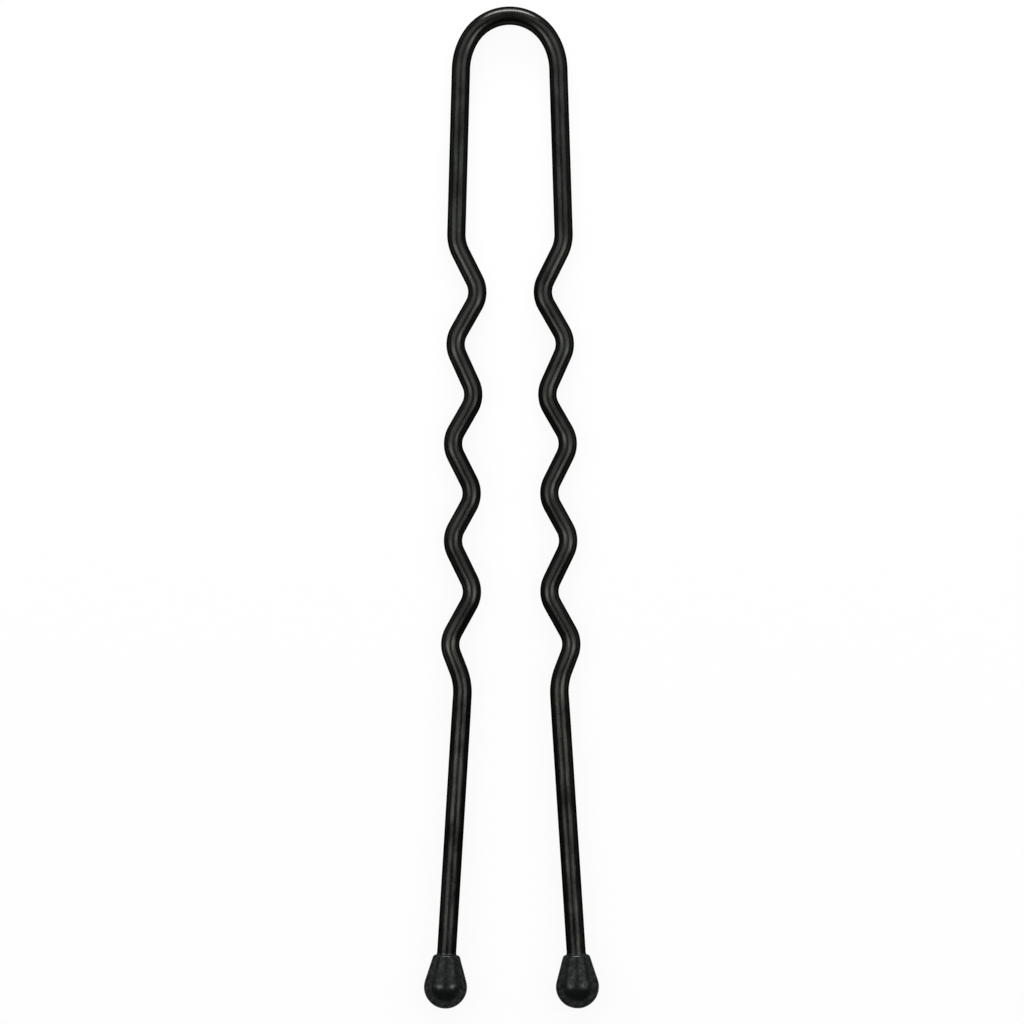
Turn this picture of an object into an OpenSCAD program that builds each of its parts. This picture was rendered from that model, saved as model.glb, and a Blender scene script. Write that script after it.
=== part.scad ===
// A U-shaped hairpin of round lacquered wire, lying flat on a table.
// The bow points along +Y, the two tips along -Y, and +Z is up.
// Every length "down" is measured along the pin from the wire's centreline at the top of the bow.

/* [Wire] */
// Diameter of the lacquered wire
wire_d = 1.2; // [1.1:0.05:1.3]
// How far the round seam between a straight and a bent stretch stands proud of the wire
seam_rise = 0.005; // [0.005:0.001:0.01]

/* [Bow] */
// Radius of the round crown, to the wire's centreline
crown_r = 3; // [2.8:0.05:3.2]
// Angle that the crown covers on each side of the middle
crown_half_angle = 57.5; // [50:0.5:65]
// Radius of the shoulders that ease the crown into the shanks
shoulder_r = 4.05; // [3.8:0.05:4.4]
// Outward lean of each upper shank
upper_splay = 1.7; // [1:0.1:2.4]

/* [Crimped waist] */
// How far down the upper shank ends in a knee
upper_knee_down = 14.8; // [13.5:0.1:16]
// Bend radius of the upper knee
upper_knee_r = 2.65; // [2.2:0.05:3]
// Drops to the four inward bends, from the bend above each
drop_in = [3.2, 3.45, 3.3, 3.4]; // [3.1:0.05:3.6]
// Drops to the four outward bends, from the bend above each
drop_out = [3.25, 3.05, 3, 3.25]; // [2.9:0.05:3.5]
// Distance of each inward bend's corner from the middle
inner_half = [1.9, 2.2, 2.3, 2.3]; // [1.85:0.05:2.4]
// Distance of each outward bend's corner from the middle
outer_half = [3.75, 3.95, 3.95, 4.1]; // [3.6:0.05:4.2]
// Bend radius of the inward and outward bends
crimp_r = 1.7; // [1.5:0.05:1.9]

/* [Lower shanks] */
// Drop from the last outward bend to the lower knee
lower_knee_drop = 2.6; // [2.5:0.05:3]
// Distance of the lower knee's corner from the middle
lower_knee_half = 3.1; // [2.9:0.05:3.4]
// Bend radius of the lower knee
lower_knee_r = 3.9; // [3:0.1:4.2]
// Outward lean of each lower shank
lower_splay = 3.6; // [3:0.1:4.2]
// How far down the tips' collars are
collar_down = 60.95; // [56:0.05:66]

/* [Tips] */
// Diameter of the ball
ball_d = 2.8; // [2.6:0.05:3]
// Depth of the ball's centre below the collar's top
ball_depth = 2.1; // [1.9:0.05:2.3]
// Diameter of the collar round the wire
collar_d = 1.8; // [1.75:0.05:1.9]
// Rounding of the collar's upper edge
collar_edge_r = 0.25; // [0.2:0.05:0.25]
// Half angle of the neck's cone
neck_angle = 17.7; // [17:0.1:18.5]
// How much nearer to upright each tip stands than its shank
tip_lean = 1.7; // [0:0.1:2.5]
// Depth of the wire's end inside the tip
wire_in_tip = 2.4; // [1.8:0.1:2.7]
// Chamfer of the wire's hidden cut end
end_chamfer = 0.1; // [0.05:0.01:0.2]

/* [Flex points] */
// How much smaller than the wire's radius the round end of each leg is
knuckle_inset = 0.02; // [0.02:0.01:0.05]
// Running clearance between that round end and the bow
knuckle_gap = 0.01; // [0.01:0.01:0.03]
// Widest angle that a leg springs open to
open_angle = 8; // [4:1:12]

/* [Hidden] */
$fn = 96;

wire_r = wire_d / 2;
ball_r = ball_d / 2;
left = -1;
right = 1;
black_lacquer = "#242622";
black_moulding = "#26262a";

// How far each bend stops short of its seams, and the shortest straight stretch that is drawn
seam_gap = 0.03;
shortest_run = 0.1;
seam_r = wire_r + seam_rise;
// How far the neck's cone ends inside the ball, and how deep its top lies in the collar
neck_inset = 0.005;
neck_top_depth = 0.2;
// Room left beyond the flanks of a fully opened leg
flank_margin = 0.03;
// A length that reaches past the wire on every side
clear = 2 * wire_d;

// Places in the pin's own plane, on the right-hand side
shoulder_turn = 90 - upper_splay - crown_half_angle;
apex = [0, crown_r * (1 / cos(crown_half_angle) - 1)];
shoulder_reach = crown_r * tan(crown_half_angle) + shoulder_r * tan(shoulder_turn / 2);
shoulder = apex + shoulder_reach * [cos(crown_half_angle), -sin(crown_half_angle)];
upper_line = [sin(upper_splay), -cos(upper_splay)];
flex_point = shoulder + shoulder_r * tan(shoulder_turn / 2) * upper_line;
upper_knee = flex_point + (flex_point.y + upper_knee_down) / cos(upper_splay) * upper_line;

function total(v, n) = n == 0 ? 0 : v[n - 1] + total(v, n - 1);
function inner_down(i) = upper_knee_down + total(drop_in, i + 1) + total(drop_out, i);
function outer_down(i) = inner_down(i) + drop_out[i];
last = len(drop_in) - 1;
crimps = [for (i = [0:last]) each [[inner_half[i], -inner_down(i)], [outer_half[i], -outer_down(i)]]];
crimp_radii = [for (c = crimps) crimp_r];

lower_knee = [lower_knee_half, -outer_down(last) - lower_knee_drop];
lower_line = [sin(lower_splay), -cos(lower_splay)];
collar = lower_knee + (lower_knee.y + collar_down) / cos(lower_splay) * lower_line;
wire_end = collar + wire_in_tip * lower_line;
tip_angle = lower_splay - tip_lean;
ball = collar + ball_depth * [sin(tip_angle), -cos(tip_angle)];

// The bow's wire and the leg's both start past their flex point, so that their round fit can be cut from them
bow_end = flex_point + wire_d * upper_line;
bow_corners = [mirrored(bow_end), mirrored(shoulder), apex, shoulder, bow_end];
bow_radii = [0, shoulder_r, crown_r, shoulder_r, 0];
leg_start = flex_point - wire_d * upper_line;
leg_corners = [leg_start, upper_knee, each crimps, lower_knee, wire_end];
leg_radii = [0, upper_knee_r, each crimp_radii, lower_knee_r, 0];

// The balls are thicker than the wire, so the pin lies with its legs tipped up by a small angle
tip_up = asin((ball_r - wire_r) / -ball.y);
middle_y = (wire_r + ball.y * cos(tip_up) - ball_r) / 2;

function mirrored(p) = [-p.x, p.y];
function sided(p, side) = [side * p.x, p.y];
function heading(c, i) = atan2(c[i + 1].y - c[i].y, c[i + 1].x - c[i].x);
function is_end(c, i) = i == 0 || i == len(c) - 1;
function turn(c, i) = is_end(c, i) ? 0 : heading(c, i) - heading(c, i - 1);
function trim(c, radii, i) = radii[i] * tan(abs(turn(c, i)) / 2);
function run(c, radii, i) = norm(c[i + 1] - c[i]) - trim(c, radii, i) - trim(c, radii, i + 1);

// Puts the pin's own plane on the table, balls and bow both touching it
module on_table() {
    translate([0, -middle_y, wire_r]) rotate([-tip_up, 0, 0]) children();
}

// Draws along the line from corner i to the next, from where the bend at corner i ends
module along(c, radii, i) {
    translate([c[i].x, c[i].y, 0]) rotate(heading(c, i)) translate([trim(c, radii, i), 0, 0])
        rotate([0, 90, 0]) children();
}

// A straight stretch with its round seams, and with any children placed at its far end
module straight_run(c, radii, i) {
    length = run(c, radii, i);
    is_drawn = length > shortest_run;
    along(c, radii, i) {
        if (is_drawn) cylinder(r = wire_r, h = length);
        if (i > 0) sphere(seam_r);
        translate([0, 0, length]) {
            if (is_drawn && i < len(c) - 2) sphere(seam_r);
            children();
        }
    }
}

module bend(c, radii, i) {
    side = sign(turn(c, i));
    back = heading(c, i - 1);
    centre = c[i] - trim(c, radii, i) * [cos(back), sin(back)] + side * radii[i] * [-sin(back), cos(back)];
    gap = seam_gap / radii[i] * 180 / PI;
    first = side > 0 ? back - 90 : back + 90 + turn(c, i);
    translate([centre.x, centre.y, 0]) rotate(first + gap) rotate_extrude(angle = abs(turn(c, i)) - 2 * gap)
        translate([radii[i], 0]) circle(wire_r);
}

// Round wire through a list of corners, each rounded to its bend radius, with any children at its end
module wire(c, radii) {
    last_run = len(c) - 2;
    for (i = [0:last_run - 1]) straight_run(c, radii, i);
    straight_run(c, radii, last_run) children();
    for (i = [1:last_run]) bend(c, radii, i);
}

// A frame at a flex point, with +Y pointing up along the shank
module at_flex(side) {
    p = sided(flex_point, side);
    translate([p.x, p.y, 0]) rotate(side * upper_splay) children();
}

// A round bar along a flex point's axis, square to the pin's plane
module upright(r) {
    translate([0, 0, -clear]) cylinder(r = r, h = 2 * clear);
}

module block_above() {
    translate([-clear, 0, -clear]) cube([2 * clear, 2 * clear, 2 * clear]);
}

// The bow ends in a hollow that the leg's round end turns in, with flanks cut back for the widest opening
module bow() {
    flank_room = wire_r * sin(open_angle) + flank_margin;
    color(black_lacquer) on_table() difference() {
        wire(bow_corners, bow_radii);
        for (side = [left, right]) {
            at_flex(side) upright(wire_r - knuckle_inset + knuckle_gap);
            at_flex(side) translate([0, flank_room, 0]) mirror([0, 1, 0]) block_above();
        }
    }
}

// A leg from its round end at the flex point to its cut end inside the tip
module leg(side) {
    c = [for (p = leg_corners) sided(p, side)];
    color(black_lacquer) on_table() difference() {
        wire(c, leg_radii) cut_end();
        at_flex(side) difference() {
            block_above();
            upright(wire_r - knuckle_inset);
        }
    }
}

module cut_end() {
    cylinder(r1 = wire_r, r2 = wire_r - end_chamfer, h = end_chamfer);
}

// A pear shape with its collar's top at the origin and its ball towards +Z
module pear() {
    neck_end_depth = ball_depth - ball_r * sin(neck_angle);
    neck_end_r = ball_r * cos(neck_angle) - neck_inset;
    neck_h = neck_end_depth - neck_top_depth;
    collar_inner_r = collar_d / 2 - collar_edge_r;
    translate([0, 0, ball_depth]) sphere(ball_r);
    translate([0, 0, neck_top_depth]) cylinder(r1 = neck_end_r - neck_h * tan(neck_angle), r2 = neck_end_r, h = neck_h);
    translate([0, 0, collar_edge_r]) rotate_extrude() translate([collar_inner_r, 0]) circle(collar_edge_r);
    cylinder(r = collar_inner_r, h = collar_edge_r);
}

// A moulded tip with a blind hole that is filled by the wire's end
module tip(side) {
    top = sided(collar, side);
    color(black_moulding) on_table() translate([top.x, top.y, 0]) difference() {
        rotate(side * tip_angle) rotate([90, 0, 0]) pear();
        rotate(side * lower_splay) rotate([90, 0, 0]) {
            translate([0, 0, -wire_d]) cylinder(r = wire_r, h = wire_d + wire_in_tip);
            translate([0, 0, wire_in_tip]) cut_end();
        }
    }
}

module left_leg() { leg(left); }
module right_leg() { leg(right); }
module left_tip() { tip(left); }
module right_tip() { tip(right); }

bow();
left_leg();
right_leg();
left_tip();
right_tip();
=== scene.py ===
"""A U-shaped hairpin: one crimped black lacquered wire with a moulded ball on each tip.

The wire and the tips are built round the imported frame, in its metres and at its place, and stand for its
nodes.
"""

import math

import bmesh
import bpy
from bpy.props import FloatProperty, FloatVectorProperty, IntProperty, PointerProperty
from mathutils import Matrix, Vector, noise


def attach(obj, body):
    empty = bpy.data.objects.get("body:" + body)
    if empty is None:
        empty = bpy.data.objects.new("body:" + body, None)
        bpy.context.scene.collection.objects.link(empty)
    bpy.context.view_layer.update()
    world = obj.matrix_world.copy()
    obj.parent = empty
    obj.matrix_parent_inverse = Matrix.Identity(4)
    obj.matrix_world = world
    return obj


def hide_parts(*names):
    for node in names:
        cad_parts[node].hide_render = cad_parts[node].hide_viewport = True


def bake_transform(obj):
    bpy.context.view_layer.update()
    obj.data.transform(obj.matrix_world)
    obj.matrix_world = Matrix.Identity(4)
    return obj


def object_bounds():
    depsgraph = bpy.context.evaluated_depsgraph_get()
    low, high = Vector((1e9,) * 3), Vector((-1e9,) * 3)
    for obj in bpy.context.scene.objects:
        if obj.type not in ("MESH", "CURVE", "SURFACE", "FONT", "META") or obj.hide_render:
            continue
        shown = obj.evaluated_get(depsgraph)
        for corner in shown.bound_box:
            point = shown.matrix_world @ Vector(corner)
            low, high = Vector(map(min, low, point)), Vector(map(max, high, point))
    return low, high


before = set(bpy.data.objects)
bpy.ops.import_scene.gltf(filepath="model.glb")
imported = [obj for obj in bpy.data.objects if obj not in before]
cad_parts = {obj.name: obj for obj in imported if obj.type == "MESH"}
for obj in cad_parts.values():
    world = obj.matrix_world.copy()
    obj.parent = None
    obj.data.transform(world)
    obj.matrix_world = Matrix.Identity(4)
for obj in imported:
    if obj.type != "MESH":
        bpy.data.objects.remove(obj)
cad_box = [list(corner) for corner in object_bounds()]

bl_info = {
    "name": "Ball-tipped hairpin",
    "version": (1, 0, 0),
    "blender": (4, 5, 0),
    "location": "3D View > Sidebar > Hairpin",
    "description": "Builds a crimped wire hairpin with moulded tips, and a plain studio round it",
    "category": "Add Mesh",
}

MM = 0.001
WHITE = (1, 1, 1)
SIDES = {"left": -1, "right": 1}
PLACE = "straightened"  # the attribute that holds where a point lay before the wire was bent
SHARP_EDGE = math.radians(38)
TOUCHING = 1e-3 * MM  # no length below this counts
SAME_POINT = 1e-4 * MM


# ---------------------------------------------------------------- what a user would change


def length(name, description, millimetres):
    """A length, shown in the scene's unit."""
    return FloatProperty(
        name=name, description=description, default=millimetres * MM, unit="LENGTH", precision=6
    )


def lengths(name, description, *millimetres):
    """Lengths that belong together, such as a place, or the width and height of a lamp's face."""
    return FloatVectorProperty(
        name=name,
        description=description,
        size=len(millimetres),
        default=[v * MM for v in millimetres],
        unit="LENGTH",
        precision=6,
    )


def angle(name, description, degrees):
    return FloatProperty(
        name=name, description=description, default=math.radians(degrees), subtype="ANGLE"
    )


def colour(name, description, *value):
    return FloatVectorProperty(
        name=name, description=description, default=value, subtype="COLOR", min=0, max=1
    )


def share(name, description, value):
    return FloatProperty(
        name=name, description=description, default=value, subtype="FACTOR", min=0, max=1
    )


def brightness(name, description, value):
    """Brightness of a lamp's face, where 1 is plain white."""
    return FloatProperty(name=name, description=description, default=value, min=0)


def count(name, description, value):
    return IntProperty(name=name, description=description, default=value, min=4)


class WireSizes(bpy.types.PropertyGroup):
    """The bent wire. Every length down is measured from its centreline at the top of the bow."""

    wire_radius: length("Wire radius", "Half the thickness of the lacquered wire", 0.6)
    build_up: length("Lacquer build-up", "How much thicker the lacquer has run on the lower shanks", 0.022)
    crown_radius: length("Crown radius", "Radius of the round crown, to the centreline", 3)
    crown_half_angle: angle("Crown half angle", "Angle of the crown on each side of the middle", 57.5)
    shoulder_radius: length("Shoulder radius", "Radius that eases the crown into a shank", 4.05)
    upper_splay: angle("Upper splay", "Outward lean of each upper shank", 1.7)
    upper_knee_down: length("Upper knee", "How far down the upper shank ends in a knee", 14.8)
    upper_knee_radius: length("Upper knee radius", "Bend radius of the upper knee", 2.65)
    drop_in: lengths("Drops in", "Drop to each inward bend, from the bend above it", 3.2, 3.45, 3.3, 3.4)
    drop_out: lengths("Drops out", "Drop to each outward bend, from the bend above it", 3.25, 3.05, 3, 3.25)
    inner_half: lengths("Inner bends", "Distance of each inward bend from the middle", 1.9, 2.2, 2.3, 2.3)
    outer_half: lengths("Outer bends", "Distance of each outward bend from the middle", 3.75, 3.95, 3.95, 4.1)
    crimp_radius: length("Crimp radius", "Bend radius of the inward and outward bends", 1.7)
    lower_knee_drop: length("Lower knee drop", "Drop from the last outward bend to the lower knee", 2.6)
    lower_knee_half: length("Lower knee", "Distance of the lower knee from the middle", 3.1)
    lower_knee_radius: length("Lower knee radius", "Bend radius of the lower knee", 3.9)
    lower_splay: angle("Lower splay", "Outward lean of each lower shank", 3.6)
    collar_down: length("Collar", "How far down the tips' collars are", 60.95)
    wire_in_tip: length("Wire in tip", "Depth of the wire's end inside the tip", 2.4)
    end_chamfer: length("End chamfer", "Chamfer of the wire's hidden cut end", 0.1)
    ring_gap: length("Ring spacing", "Longest gap between two rings of the mesh", 0.16)
    ring_points: count("Ring points", "Points round the wire", 64)


class TipSizes(bpy.types.PropertyGroup):
    """A moulded tip, shaped like a pear."""

    ball_radius: length("Ball radius", "Radius of the ball", 1.4)
    ball_depth: length("Ball depth", "Depth of the ball's centre below the collar's top", 2.1)
    collar_radius: length("Collar radius", "Radius of the collar round the wire", 0.9)
    collar_rounding: length("Collar rounding", "Rounding of the collar's upper edge", 0.25)
    neck_angle: angle("Neck angle", "Half angle of the neck's cone", 17.7)
    lean: angle("Lean", "How much nearer to upright each tip stands than its shank", 1.7)
    lip_radius: length("Lip radius", "Radius of the hollow lip that climbs the wire", 0.05)
    lip_turn: angle("Lip turn", "Angle that the hollow lip covers", 60)
    lumps: length("Lumps", "Height of the moulding's soft lumps", 0.008)
    turn_points: count("Turn points", "Points round the tip", 96)


class Finishes(bpy.types.PropertyGroup):
    """Colours and gloss of the lacquer and the moulding."""

    lacquer: colour("Lacquer", "How much light the lacquer's gloss sends back", 0.0083, 0.0088, 0.0081)
    # This colour is also the painted highlight along the wire, where the gloss is painted brightest
    lacquer_rubbed_and_lit: colour("Rubbed lacquer", "The same where it is rubbed", 0.0500, 0.0518, 0.0483)
    lacquer_edge: colour("Lacquer edge", "Share of a metal's sheen kept at its edge", 0.1, 0.1, 0.1)
    lacquer_matt: colour("Matt lacquer", "Colour of the lacquer without its gloss", 0.003, 0.0032, 0.003)
    lacquer_roughness: share("Lacquer roughness", "Roughness of the lacquer", 0.285)
    groove_depth: length("Drawing lines", "Depth of the lines that drawing left along the wire", 0.009)
    peel_depth: length("Orange peel", "Depth of the lacquer's soft unevenness", 0.008)
    moulding: colour("Moulding", "How much light the moulding's gloss sends back", 0.0165, 0.0174, 0.0176)
    moulding_pale: colour("Pale moulding", "The same in its paler cloudy places", 0.043, 0.0436, 0.0475)
    moulding_edge: colour("Moulding edge", "Share of a metal's sheen kept at its edge", 0.4, 0.4, 0.4)
    moulding_matt: colour("Matt moulding", "Colour of the moulding without its gloss", 0.0190, 0.0213, 0.0213)
    moulding_roughness: share("Moulding roughness", "Roughness of the moulding", 0.27)
    grain_depth: length("Moulded grain", "Depth of the moulding's fine grain", 0.005)


class Studio(bpy.types.PropertyGroup):
    """Camera, lamps, floor and backdrop."""

    view_height: length("View height", "Height of the camera above the wire", 800)
    view_width: length("View width", "Width of what the camera sees", 66.5)
    view_place: lengths("View place", "Point of the floor under the camera", 0.095, -0.31)
    view_roll: angle("View roll", "How far the camera is turned about its own line of sight", -0.114)
    low_lamp: lengths("Low lamp", "Place of the right-hand narrow lamp", 98, -20, 148)
    low_lamp_size: lengths("Low lamp size", "Width and length of its face", 42, 95)
    low_lamp_glow: brightness("Low lamp brightness", "Brightness of its face", 4.4)
    low_lamp_tint: colour("Low lamp tint", "Its light is a little warm", 1.0, 0.99, 0.94)
    side_lamp: lengths("Side lamp", "Place of the right-hand wide softbox", 150, 100, 215)
    side_lamp_size: lengths("Side lamp size", "Width and length of its face", 260, 240)
    side_lamp_glow: brightness("Side lamp brightness", "Brightness of its face", 1.3)
    side_lamp_tint: colour("Side lamp tint", "Its light is a little cool", 0.97, 1.0, 0.975)
    head_lamp: lengths("Head lamp", "Place of the lamp beyond the bow", 0, 265, 82)
    head_lamp_size: lengths("Head lamp size", "Width and height of its face", 230, 75)
    head_lamp_glow: brightness("Head lamp brightness", "Brightness of its face", 19.0)
    floor: colour("Floor", "Colour of the pale floor", 0.9, 0.9, 0.9)
    floor_reach: length("Floor reach", "Distance from the pin to the floor's edges", 4000)
    pale: share("Pale ground", "Share of plain white in what shows of the floor and the backdrop", 0.92)
    sky: share("Sky", "Strength of the light from all round", 0.05)


def settings():
    return bpy.context.scene.hairpin


# ---------------------------------------------------------------- shader maths


class Signal:
    """One output in a node tree. Python's operators on it add the Math nodes that they stand for."""

    def __init__(self, tree, socket=None):
        self.tree = tree
        self.socket = socket

    def node(self, kind, options=None, inputs=None, output=0):
        """Adds a node: its own options are set first, then the values or links of its sockets."""
        made = self.tree.nodes.new("ShaderNode" + kind)
        for name, value in (options or {}).items():
            if name == "stops":
                ramp = made.color_ramp.elements
                while len(ramp) < len(value):
                    ramp.new(0.5)
                for element, (position, grey) in zip(ramp, value):
                    element.position, element.color = position, (grey, grey, grey, 1)
            else:
                setattr(made, name, value)
        for name, value in (inputs or {}).items():
            if isinstance(value, Signal):
                self.tree.links.new(value.socket, made.inputs[name])
            else:
                made.inputs[name].default_value = value
        return Signal(self.tree, made.outputs[output] if made.outputs else None)

    def maths(self, operation, *values):
        return self.node("Math", {"operation": operation}, dict(enumerate(values)))

    def __add__(self, other):
        return self.maths("ADD", self, other)

    def __radd__(self, other):
        return self.maths("ADD", other, self)

    def __sub__(self, other):
        return self.maths("SUBTRACT", self, other)

    def __rsub__(self, other):
        return self.maths("SUBTRACT", other, self)

    def __mul__(self, other):
        return self.maths("MULTIPLY", self, other)

    def __rmul__(self, other):
        return self.maths("MULTIPLY", other, self)

    def __abs__(self):
        return self.maths("ABSOLUTE", self)

    def larger(self, other):
        return self.maths("MAXIMUM", self, other)

    def ramp(self, stops):
        """This value through a ramp of greys. Each stop is a position and a grey."""
        return self.node("ValToRGB", {"stops": stops}, {"Fac": self})

    def part(self, axis):
        return self.node("SeparateXYZ", None, {0: self}, output=axis)

    def scaled(self, x=1, y=1, z=1):
        """This vector with each of its parts scaled."""
        return self.node("VectorMath", {"operation": "MULTIPLY"}, {0: self, 1: (x, y, z)})

    def noise(self, feature, detail=2.0, roughness=0.5):
        """Soft noise with features of about that size in metres."""
        sockets = {"Vector": self, "Scale": 1 / feature, "Detail": detail, "Roughness": roughness}
        return self.node("TexNoise", None, sockets)

    def between(self, low, high):
        """A colour from low to high, by this mask. A Mix node's colour sockets are told apart by number."""
        factor, first, second, result = 0, 6, 7, 2
        ends = {factor: self, first: (*low, 1), second: (*high, 1)}
        return self.node("Mix", {"data_type": "RGBA"}, ends, output=result)

    def bump(self, depth, normal=None):
        sockets = {"Height": self, "Distance": depth, "Strength": 1.0}
        if normal:
            sockets["Normal"] = normal
        return self.node("Bump", None, sockets)


def new_material(name):
    material = bpy.data.materials.new(name)
    material.use_nodes = True
    material.node_tree.nodes.clear()
    return material, Signal(material.node_tree)


def finish_material(start, gloss, matt, fade):
    """Lets the gloss give way to a plain matt colour as the surface turns away, by the fade's stops."""
    turned_away = start.node("LayerWeight", None, {"Blend": 0.5}, output="Facing")
    plain = start.node("BsdfDiffuse", None, {"Color": (*matt, 1)})
    shader = start.node("MixShader", None, {0: turned_away.ramp(fade), 1: gloss, 2: plain})
    start.node("OutputMaterial", None, {"Surface": shader})


# ---------------------------------------------------------------- the finishes

# Sizes of the lacquer's features, and how far three of them are drawn out along the wire
LINE_SIZE, PEEL_SIZE, SPECK_SIZE, CLOUD_SIZE = 0.055 * MM, 0.45 * MM, 0.2 * MM, 0.8 * MM
LINE_DRAW, PEEL_DRAW, CLOUD_DRAW = 0.03, 0.5, 0.4
# How bright the gloss is painted along the wire, at shares of this length from the top of the bow: a painted
# highlight at the crown, and painted shade that darkens the lower shanks
PAINTED_GLOSS_LENGTH = 70 * MM
PAINTED_GLOSS_ALONG = ((0.04, 0.85), (0.06, 0.28), (0.2, 0.45), (0.66, 0.45), (0.72, 0.0))
# What that painted gloss adds to the lacquer's colour mask, and takes from the lines and the roughness
PAINTED_GLOSS_SHARE, GLOSS_FILLS_LINES, GLOSS_SMOOTHS = 0.55, 0.6, 0.05
# The clouds and the specks that make the rubbed places, and how far the specks change the roughness
CLOUD_SHARE, SPECK_SHARE, SPECK_ROUGHNESS = 0.75, 0.25, 0.07
RUBBED_PLACES = ((0.38, 0.0), (0.62, 0.45))
# The rim turns matt black, and gets some sheen back where it is seen along the surface
LACQUER_FADE = ((0.13, 0.0), (0.48, 0.9), (0.66, 0.9), (0.8, 0.15))

# Sizes of the moulding's features
GRAIN_SIZE, DENT_SIZE, MIST_SIZE = 0.18 * MM, 0.42 * MM, 0.3 * MM
DENT_SHARE = 1.5  # depth of its dents as a share of its grain's
GRAIN_ROUGHNESS = 0.3
PALE_PLACES = ((0.42, 0.0), (0.62, 1.0))
MOULDING_FADE = ((0.13, 0.3), (0.45, 0.4), (0.6, 0.1))


def lacquer_material():
    """Baked black lacquer over drawn wire: satin, with drawing lines, orange peel and rubbed places, and with
    its gloss colour painted brighter at the crown and darker on the lower shanks, as painted highlight and
    shade.
    """
    look = settings().finishes
    material, start = new_material("Satin black lacquer")
    spot = start.node("Attribute", {"attribute_name": PLACE}, output="Vector")
    lines = spot.scaled(x=LINE_DRAW).noise(LINE_SIZE, detail=1.0)
    peel = spot.scaled(x=PEEL_DRAW).noise(PEEL_SIZE, detail=3.0)
    specks = spot.noise(SPECK_SIZE, roughness=0.6)
    clouds = spot.scaled(x=CLOUD_DRAW).noise(CLOUD_SIZE, detail=3.0)
    # Painted highlight and shade: the gloss colour is brightest at the crown and dark on the lower shanks, by
    # the distance from the top of the bow
    painted_gloss = (1 / PAINTED_GLOSS_LENGTH * abs(spot.part("X"))).ramp(PAINTED_GLOSS_ALONG)
    # The colour mask: random rubbed places, plus the painted highlight along the wire
    rubbed_and_painted_gloss = (CLOUD_SHARE * clouds + SPECK_SHARE * specks).ramp(RUBBED_PLACES) + PAINTED_GLOSS_SHARE * painted_gloss
    grooves = lines * (1 - GLOSS_FILLS_LINES * painted_gloss)
    uneven = SPECK_ROUGHNESS * (specks - 0.5) - GLOSS_SMOOTHS * painted_gloss
    gloss = start.node(
        "BsdfPrincipled",
        None,
        {
            # From the lacquer to its rubbed colour, which is also the colour of the painted highlight
            "Base Color": rubbed_and_painted_gloss.between(look.lacquer, look.lacquer_rubbed_and_lit),
            "Metallic": 1.0,
            "Specular Tint": (*look.lacquer_edge, 1),
            "Roughness": look.lacquer_roughness + uneven,
            "Normal": grooves.bump(look.groove_depth, peel.bump(look.peel_depth)),
        },
    )
    finish_material(start, gloss, look.lacquer_matt, LACQUER_FADE)
    return material


def moulding_material():
    """Black moulded plastic: cloudy, with a fine uneven grain."""
    look = settings().finishes
    material, start = new_material("Black moulding")
    spot = start.node("TexCoord", output="Object")
    grain = spot.noise(GRAIN_SIZE, detail=3.0, roughness=0.6)
    dents = spot.noise(DENT_SIZE)
    mist = spot.noise(MIST_SIZE, detail=3.0, roughness=0.6)
    gloss = start.node(
        "BsdfPrincipled",
        None,
        {
            "Base Color": mist.ramp(PALE_PLACES).between(look.moulding, look.moulding_pale),
            "Metallic": 1.0,
            "Specular Tint": (*look.moulding_edge, 1),
            "Roughness": look.moulding_roughness + GRAIN_ROUGHNESS * (grain - 0.5),
            "Normal": grain.bump(look.grain_depth, dents.bump(look.grain_depth * DENT_SHARE)),
        },
    )
    finish_material(start, gloss, look.moulding_matt, MOULDING_FADE)
    return material


# ---------------------------------------------------------------- the bent wire

# The thickening of the lacquer starts this far above the lower knee, and is full this far below it
BUILD_UP_START, BUILD_UP_FULL = 1.5 * MM, 3 * MM


def flat(a, b):
    return Vector((a, b, 0))


def downward(lean):
    """A step of length 1 down the pin, at that lean towards its right-hand side."""
    return flat(math.sin(lean), -math.cos(lean))


def wire_route(s):
    """Corners of the right-hand half of the wire in the pin's own plane, and the bend radius at each."""
    shoulder_turn = math.pi / 2 - s.upper_splay - s.crown_half_angle
    apex = flat(0, s.crown_radius * (1 / math.cos(s.crown_half_angle) - 1))
    ease = s.shoulder_radius * math.tan(shoulder_turn / 2)
    reach = s.crown_radius * math.tan(s.crown_half_angle) + ease
    shoulder = apex + reach * flat(math.cos(s.crown_half_angle), -math.sin(s.crown_half_angle))
    upper_line = downward(s.upper_splay)
    flex = shoulder + ease * upper_line
    upper_knee = flex + (flex.y + s.upper_knee_down) / math.cos(s.upper_splay) * upper_line
    corners, radii = [apex, shoulder, upper_knee], [s.crown_radius, s.shoulder_radius, s.upper_knee_radius]
    down = s.upper_knee_down
    for drop_in, drop_out, inner, outer in zip(s.drop_in, s.drop_out, s.inner_half, s.outer_half):
        corners += [flat(inner, -down - drop_in), flat(outer, -down - drop_in - drop_out)]
        radii += [s.crimp_radius, s.crimp_radius]
        down += drop_in + drop_out
    lower_knee = flat(s.lower_knee_half, -down - s.lower_knee_drop)
    lower_line = downward(s.lower_splay)
    collar = lower_knee + (lower_knee.y + s.collar_down) / math.cos(s.lower_splay) * lower_line
    corners += [lower_knee, collar + s.wire_in_tip * lower_line]
    radii += [s.lower_knee_radius, 0]
    return {"corners": corners, "radii": radii, "flex": flex, "collar": collar}


def table_place(s, tip):
    """Puts the pin's own plane on the floor, with the balls and the bow both touching it."""
    ball = wire_route(s)["collar"] + tip.ball_depth * downward(s.lower_splay - tip.lean)
    tip_up = math.asin((tip.ball_radius - s.wire_radius) / -ball.y)
    middle_y = (s.wire_radius + ball.y * math.cos(tip_up) - tip.ball_radius) / 2
    return Matrix.Translation((0, -middle_y, s.wire_radius)) @ Matrix.Rotation(-tip_up, 4, "X")


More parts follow.
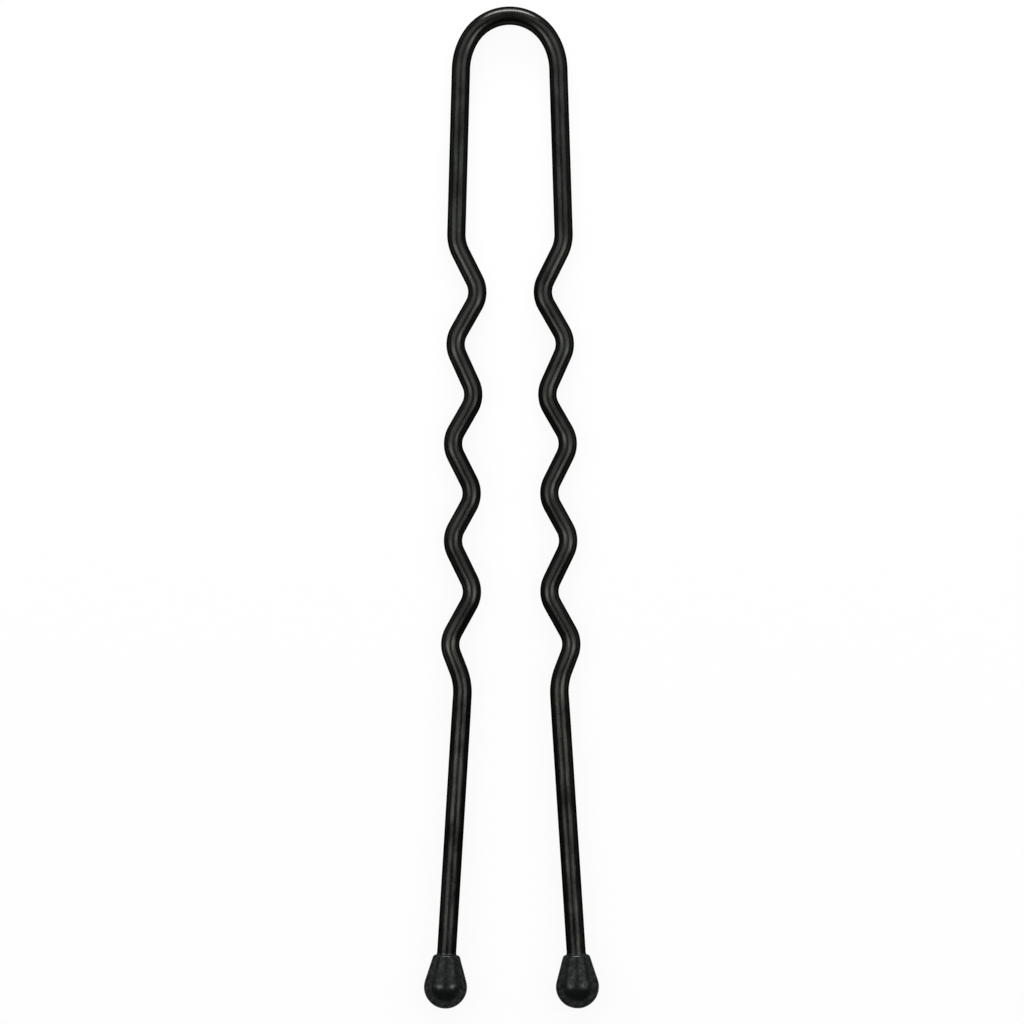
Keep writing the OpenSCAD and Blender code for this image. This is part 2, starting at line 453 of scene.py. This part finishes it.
class Draw:
    """Draws the wire ring by ring, and notes at every point where it lay on the straight wire."""

    def __init__(self, bm, s, side):
        self.bm, self.side, self.gap = bm, side, s.ring_gap
        self.place = bm.verts.layers.float_vector.new(PLACE)
        self.run = 0.0
        turned = Matrix.Rotation(math.pi / 2, 4, "Y")
        bmesh.ops.create_circle(bm, radius=s.wire_radius, segments=s.ring_points, matrix=turned)
        self.ring = bm.verts[:] + bm.edges[:]
        for v in bm.verts:
            v[self.place] = (0, v.co.y, v.co.z)

    def sweep(self, centre, turn, travel, run_length, place_of):
        """One bend or straight stretch. place_of says how far along it and how far outward a point lies."""
        known = len(self.bm.verts)
        steps = max(1, math.ceil(run_length / self.gap))
        made = bmesh.ops.spin(
            self.bm,
            geom=self.ring,
            cent=centre,
            axis=(0, 0, 1),
            dvec=travel / steps,
            angle=turn,
            steps=steps,
            use_duplicate=False,
        )
        self.ring = made["geom_last"]
        self.bm.verts.ensure_lookup_table()
        for v in self.bm.verts[known:]:
            done, outward = place_of(v.co)
            v[self.place] = (self.side * (self.run + done), outward, v.co.z)
        self.run += run_length

    def bend(self, centre, radius, turn):
        """Turns the ring about a bend's centre."""
        outer = -self.side * math.copysign(1, turn)
        start = self.middle() - centre

        def place_of(point):
            arm = flat(point.x - centre.x, point.y - centre.y)
            return radius * start.angle(arm, 0.0), outer * (arm.length - radius)

        self.sweep(centre, turn, Vector(), radius * abs(turn), place_of)

    def straight(self, travel):
        """Moves the ring along a straight stretch."""
        start, line = self.middle(), travel.normalized()
        outward = self.side * flat(-line.y, line.x)

        def place_of(point):
            arm = point - start
            return arm.dot(line), arm.dot(outward)

        self.sweep(Vector(), 0.0, travel, travel.length, place_of)

    def middle(self):
        """The centre of the last ring."""
        points = [g.co for g in self.ring if isinstance(g, bmesh.types.BMVert)]
        return sum(points, Vector()) / len(points)


def heading(a, b):
    return math.atan2(b.y - a.y, b.x - a.x)


def draw_half(bm, s, side):
    """Sweeps one half of the wire from the middle of the crown to where its cut end's chamfer starts."""
    route = wire_route(s)
    corners = [flat(side * c.x, c.y) for c in route["corners"]]
    draw = Draw(bm, s, side)
    draw.bend(flat(0, -s.crown_radius), s.crown_radius, -side * s.crown_half_angle)
    trimmed = s.crown_radius * math.tan(s.crown_half_angle)
    for before, corner, after, radius in zip(corners, corners[1:], corners[2:], route["radii"][1:]):
        line = (corner - before).normalized()
        turn = heading(corner, after) - heading(before, corner)
        trim = radius * math.tan(abs(turn) / 2)
        run = (corner - before).length - trimmed - trim
        if run > TOUCHING:
            draw.straight(run * line)
        inward = math.copysign(1, turn) * flat(-line.y, line.x)
        draw.bend(corner - trim * line + radius * inward, radius, turn)
        trimmed = trim
    end = corners[-1] - corners[-2]
    draw.straight((end.length - trimmed - s.end_chamfer) * end.normalized())
    return draw


def close_ends(bm, draw, s):
    """Chamfers the cut end, and closes it and the start of the sweep."""
    edges = [g for g in draw.ring if isinstance(g, bmesh.types.BMEdge)]
    middle = draw.middle()
    made = bmesh.ops.extrude_edge_only(bm, edges=edges)["geom"]
    points = [g for g in made if isinstance(g, bmesh.types.BMVert)]
    narrow = (s.wire_radius - s.end_chamfer) / s.wire_radius
    bmesh.ops.scale(bm, vec=(narrow,) * 3, verts=points, space=Matrix.Translation(-middle))
    bmesh.ops.translate(bm, vec=s.end_chamfer * downward(draw.side * s.lower_splay), verts=points)
    for v in points:
        v[draw.place] = (draw.side * (draw.run + s.end_chamfer), (v.co - middle).x, v.co.z)
    bmesh.ops.holes_fill(bm, edges=[e for e in bm.edges if e.is_boundary], sides=0)


def thicken(bm, s):
    """The lacquer has run down to the lower shanks, so the wire is a little thicker there."""
    knee_down = s.upper_knee_down + sum(s.drop_in) + sum(s.drop_out) + s.lower_knee_drop
    start, full = -knee_down + BUILD_UP_START, -knee_down - BUILD_UP_FULL
    bmesh.ops.recalc_face_normals(bm, faces=bm.faces)
    for v in bm.verts:
        done = min(1.0, max(0.0, (v.co.y - start) / (full - start)))
        # The points round the cut end's flat have three faces each, and stay
        if done > 0 and len(v.link_faces) == 4:
            v.co += v.normal * s.build_up * done * done * (3 - 2 * done)


def piece_from(bm, name, material):
    """A finished mesh piece at the origin, smooth but for its sharp edges."""
    bmesh.ops.recalc_face_normals(bm, faces=bm.faces)
    for f in bm.faces:
        f.smooth = True
    for e in bm.edges:
        e.smooth = len(e.link_faces) != 2 or e.calc_face_angle(0) < SHARP_EDGE
    mesh = bpy.data.meshes.new(name)
    bm.to_mesh(mesh)
    bm.free()
    mesh.materials.append(material)
    piece = bpy.data.objects.new(name, mesh)
    bpy.context.scene.collection.objects.link(piece)
    return piece


class HAIRPIN_OT_wire(bpy.types.Operator):
    """Bends the lacquered wire in two halves that meet at the top of the bow"""

    bl_idname = "hairpin.wire"
    bl_label = "Bend the wire"

    def execute(self, context):
        s, tip = settings().wire, settings().tip
        flex = wire_route(s)["flex"]
        on_table = table_place(s, tip)
        material = lacquer_material()
        for name, side in SIDES.items():
            bm = bmesh.new()
            draw = draw_half(bm, s, side)
            close_ends(bm, draw, s)
            thicken(bm, s)
            bmesh.ops.transform(bm, matrix=on_table, verts=bm.verts)
            wire = piece_from(bm, f"wire_{name}", material)
            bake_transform(wire)
            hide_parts("bow", f"{name}_leg")
        return {"FINISHED"}


# ---------------------------------------------------------------- the moulded tips

# Mesh steps along each stretch of a tip's profile
HOLE_END_STEPS, HOLE_WALL_STEPS, LIP_STEPS, EDGE_STEPS, NECK_STEPS, BALL_STEPS = 3, 12, 8, 8, 10, 34
# Sizes of the soft lumps and of the finer ones on them, their shares of the height, and where they start
LUMP_SIZE, FINE_LUMP_SIZE = 0.7 * MM, 0.25 * MM
LUMP_SHARE, FINE_LUMP_SHARE = 0.7, 0.3
LUMP_SEED = 4.0


class Pen:
    """Draws a profile in the XZ plane by spinning or moving one vertex at a time."""

    def __init__(self, bm, x, z):
        self.bm = bm
        self.at = bm.verts.new((x, 0, z))

    def go(self, centre, turn, travel, steps):
        made = bmesh.ops.spin(
            self.bm,
            geom=[self.at],
            cent=centre,
            axis=(0, 1, 0),
            dvec=travel / steps,
            angle=turn,
            steps=steps,
            use_duplicate=False,
        )
        self.at = next(g for g in made["geom_last"] if isinstance(g, bmesh.types.BMVert))

    def line(self, x, z, steps=1):
        self.go(Vector(), 0.0, Vector((x, 0, z)) - self.at.co, steps)

    def arc(self, x, z, turn, steps):
        """Turns about the centre x, z. A positive turn goes from +Z towards +X."""
        self.go(Vector((x, 0, z)), turn, Vector(), steps)


def draw_tip(bm, s, tip):
    """A pear with its collar's top at the origin and its ball towards +Z, and a blind hole for the wire.

    Returns the hole's points.
    """
    hole = s.wire_radius + s.build_up
    lip_x, lip_z = hole + tip.lip_radius, -tip.lip_radius * math.sin(tip.lip_turn)
    pen = Pen(bm, 0, s.wire_in_tip)
    pen.line(hole - s.end_chamfer, s.wire_in_tip, HOLE_END_STEPS)
    pen.line(hole, s.wire_in_tip - s.end_chamfer)
    pen.line(hole, lip_z, HOLE_WALL_STEPS)
    pen.arc(lip_x, lip_z, -tip.lip_turn, LIP_STEPS)
    # The lip's foot runs into the rounded upper edge of the collar
    edge_x, edge_z = tip.collar_radius - tip.collar_rounding, tip.collar_rounding
    foot = math.asin(min(1.0, max(0.0, (pen.at.co.x - edge_x) / tip.collar_rounding)))
    pen.line(edge_x + tip.collar_rounding * math.sin(foot), edge_z - tip.collar_rounding * math.cos(foot))
    pen.arc(edge_x, edge_z, foot - math.pi / 2 + tip.neck_angle, EDGE_STEPS)
    # The neck's cone runs on to where the ball starts
    start = math.pi / 2 - tip.neck_angle
    ball_x, ball_z = tip.ball_radius * math.sin(start), tip.ball_depth - tip.ball_radius * math.cos(start)
    pen.line(ball_x, ball_z, NECK_STEPS)
    pen.arc(0, tip.ball_depth, start - math.pi, BALL_STEPS)
    pen.at.co.x = 0
    profile = bm.verts[:] + bm.edges[:]
    bmesh.ops.spin(bm, geom=profile, axis=(0, 0, 1), angle=2 * math.pi, steps=tip.turn_points, use_merge=True)
    bmesh.ops.remove_doubles(bm, verts=bm.verts, dist=SAME_POINT)
    widest, deepest = hole + TOUCHING, s.wire_in_tip + TOUCHING
    return [v for v in bm.verts if v.co.xy.length < widest and v.co.z <= deepest]


def roughen(bm, tip, kept, seed):
    """Soft lumps of the moulding, on all points but the kept ones."""
    kept = set(kept)
    bm.normal_update()
    for v in bm.verts:
        if v not in kept:
            soft = noise.noise(v.co / LUMP_SIZE + Vector((seed, 0, 0)))
            fine = noise.noise(v.co / FINE_LUMP_SIZE + Vector((0, seed, 0)))
            v.co += v.normal * tip.lumps * (LUMP_SHARE * soft + FINE_LUMP_SHARE * fine)


def turn_about_origin(bm, points, turn, axis):
    bmesh.ops.rotate(bm, cent=(0, 0, 0), matrix=Matrix.Rotation(turn, 4, axis), verts=points)


class HAIRPIN_OT_tips(bpy.types.Operator):
    """Moulds a ball tip over each end of the wire"""

    bl_idname = "hairpin.tips"
    bl_label = "Mould the tips"

    def execute(self, context):
        s, tip = settings().wire, settings().tip
        collar = wire_route(s)["collar"]
        on_table = table_place(s, tip)
        material = moulding_material()
        for name, side in SIDES.items():
            bm = bmesh.new()
            hole = draw_tip(bm, s, tip)
            roughen(bm, tip, hole, seed=LUMP_SEED + side)
            turn_about_origin(bm, bm.verts, math.pi / 2, "X")
            # The hole follows the wire, which leans a little more than the tip
            inside = set(hole)
            outside = [v for v in bm.verts if v not in inside]
            turn_about_origin(bm, outside, side * (s.lower_splay - tip.lean), "Z")
            turn_about_origin(bm, hole, side * s.lower_splay, "Z")
            on_wire = on_table @ Matrix.Translation((side * collar.x, collar.y, 0))
            bmesh.ops.transform(bm, matrix=on_wire, verts=bm.verts)
            piece = piece_from(bm, f"moulded_tip_{name}", material)
            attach(piece, f"{name}_leg")
            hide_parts(f"{name}_tip")
        return {"FINISHED"}


# ---------------------------------------------------------------- the studio

# Gloss and glass show the backdrop up to this height, as the sine of its angle above the floor
BACKDROP_TOP = ((0.06, 1.0), (0.12, 0.0))
NEAREST_SEEN, FURTHEST_SEEN = 0.01, 10


def rays(start):
    """Whether the ray that meets the surface is the camera's, a glossy one, or one through glass."""
    kinds = ("Is Camera Ray", "Is Glossy Ray", "Is Transmission Ray")
    return [start.node("LightPath", output=kind) for kind in kinds]


def add_lamp(name, place, aim, size, glow, tint=WHITE):
    lamp = bpy.data.lights.new(name, "AREA")
    lamp.color = tint
    lamp.shape = "RECTANGLE"
    lamp.size, lamp.size_y = size
    lamp.energy = glow * math.pi * size[0] * size[1]
    holder = bpy.data.objects.new(name, lamp)
    holder.location = place
    holder.rotation_euler = (Vector(aim) - Vector(place)).to_track_quat("-Z", "Y").to_euler()
    holder.visible_camera = False
    bpy.context.scene.collection.objects.link(holder)


def add_floor(studio):
    """A wide pale floor. What shows of it is nearly plain white, and keeps a share of the pin's shadow."""
    material, start = new_material("Pale floor")
    lit = start.node("BsdfDiffuse", None, {"Color": (*studio.floor, 1)})
    plain = start.node("Emission", None, {"Color": (*WHITE, 1), "Strength": 1.0})
    seen, glossy, through = rays(start)
    shown = seen.larger(glossy).larger(through)
    shader = start.node("MixShader", None, {0: shown * studio.pale, 1: lit, 2: plain})
    start.node("OutputMaterial", None, {"Surface": shader})
    bm = bmesh.new()
    bmesh.ops.create_grid(bm, x_segments=2, y_segments=2, size=studio.floor_reach)
    floor = piece_from(bm, "floor", material)


def add_world(studio):
    """Dim light from all round, and a backdrop as pale as the floor for what the camera sees."""
    world = bpy.data.worlds.new("Studio air")
    bpy.context.scene.world = world
    world.use_nodes = True
    world.node_tree.nodes.clear()
    start = Signal(world.node_tree)
    height = start.node("TexCoord", output="Generated").part("Z")
    seen, glossy, through = rays(start)
    shown = seen.larger(glossy.larger(through) * height.ramp(BACKDROP_TOP))
    strength = shown * (studio.pale - studio.sky) + studio.sky
    air = start.node("Background", None, {"Color": (*WHITE, 1), "Strength": strength})
    start.node("OutputWorld", None, {"Surface": air})


def add_camera(studio, s):
    """A camera that looks straight down, far enough away that the raised balls stay in place."""
    camera = bpy.data.cameras.new("camera")
    camera.lens = camera.sensor_width * studio.view_height / studio.view_width
    camera.clip_start, camera.clip_end = NEAREST_SEEN, FURTHEST_SEEN
    holder = bpy.data.objects.new("camera", camera)
    holder.location = (*studio.view_place, s.wire_radius + studio.view_height)
    holder.rotation_euler = (0, 0, studio.view_roll)
    bpy.context.scene.collection.objects.link(holder)
    bpy.context.scene.camera = holder


class HAIRPIN_OT_stage(bpy.types.Operator):
    """Sets up the pale floor, the lamps and the camera above the pin"""

    bl_idname = "hairpin.stage"
    bl_label = "Set the stage"

    def execute(self, context):
        studio, s = settings().studio, settings().wire
        add_floor(studio)
        add_world(studio)
        for name, side in SIDES.items():
            for kind in ("low_lamp", "side_lamp"):
                x, y, z = getattr(studio, kind)
                face = {part: getattr(studio, f"{kind}_{part}") for part in ("size", "glow", "tint")}
                add_lamp(f"{name}_{kind}", (side * x, y, z), (0, y, 0), **face)
        bow = (0, cad_box[1][1], s.wire_radius)
        add_lamp("head_lamp", studio.head_lamp, bow, studio.head_lamp_size, studio.head_lamp_glow)
        add_camera(studio, s)
        context.scene.view_settings.view_transform = "Standard"
        return {"FINISHED"}


class HairpinSettings(bpy.types.PropertyGroup):
    """Everything that a user would change."""

    wire: PointerProperty(type=WireSizes, name="Wire", description="Sizes of the bent wire")
    tip: PointerProperty(type=TipSizes, name="Tips", description="Sizes of the moulded tips")
    finishes: PointerProperty(type=Finishes, name="Finishes", description="Lacquer and moulding")
    studio: PointerProperty(type=Studio, name="Studio", description="Camera, lamps, floor and backdrop")


class HAIRPIN_PT_panel(bpy.types.Panel):
    """Lists the steps that build the hairpin"""

    bl_idname = "HAIRPIN_PT_panel"
    bl_label = "Hairpin"
    bl_space_type = "VIEW_3D"
    bl_region_type = "UI"
    bl_category = "Hairpin"

    def draw(self, context):
        for step in (HAIRPIN_OT_wire, HAIRPIN_OT_tips, HAIRPIN_OT_stage):
            self.layout.operator(step.bl_idname)


CLASSES = (
    WireSizes,
    TipSizes,
    Finishes,
    Studio,
    HairpinSettings,
    HAIRPIN_OT_wire,
    HAIRPIN_OT_tips,
    HAIRPIN_OT_stage,
    HAIRPIN_PT_panel,
)


def register():
    for each in CLASSES:
        bpy.utils.register_class(each)
    bpy.types.Scene.hairpin = PointerProperty(type=HairpinSettings)


def unregister():
    del bpy.types.Scene.hairpin
    for each in reversed(CLASSES):
        bpy.utils.unregister_class(each)


def main():
    register()
    bpy.ops.hairpin.wire()
    bpy.ops.hairpin.tips()
    bpy.ops.hairpin.stage()


if __name__ == "__main__":
    main()
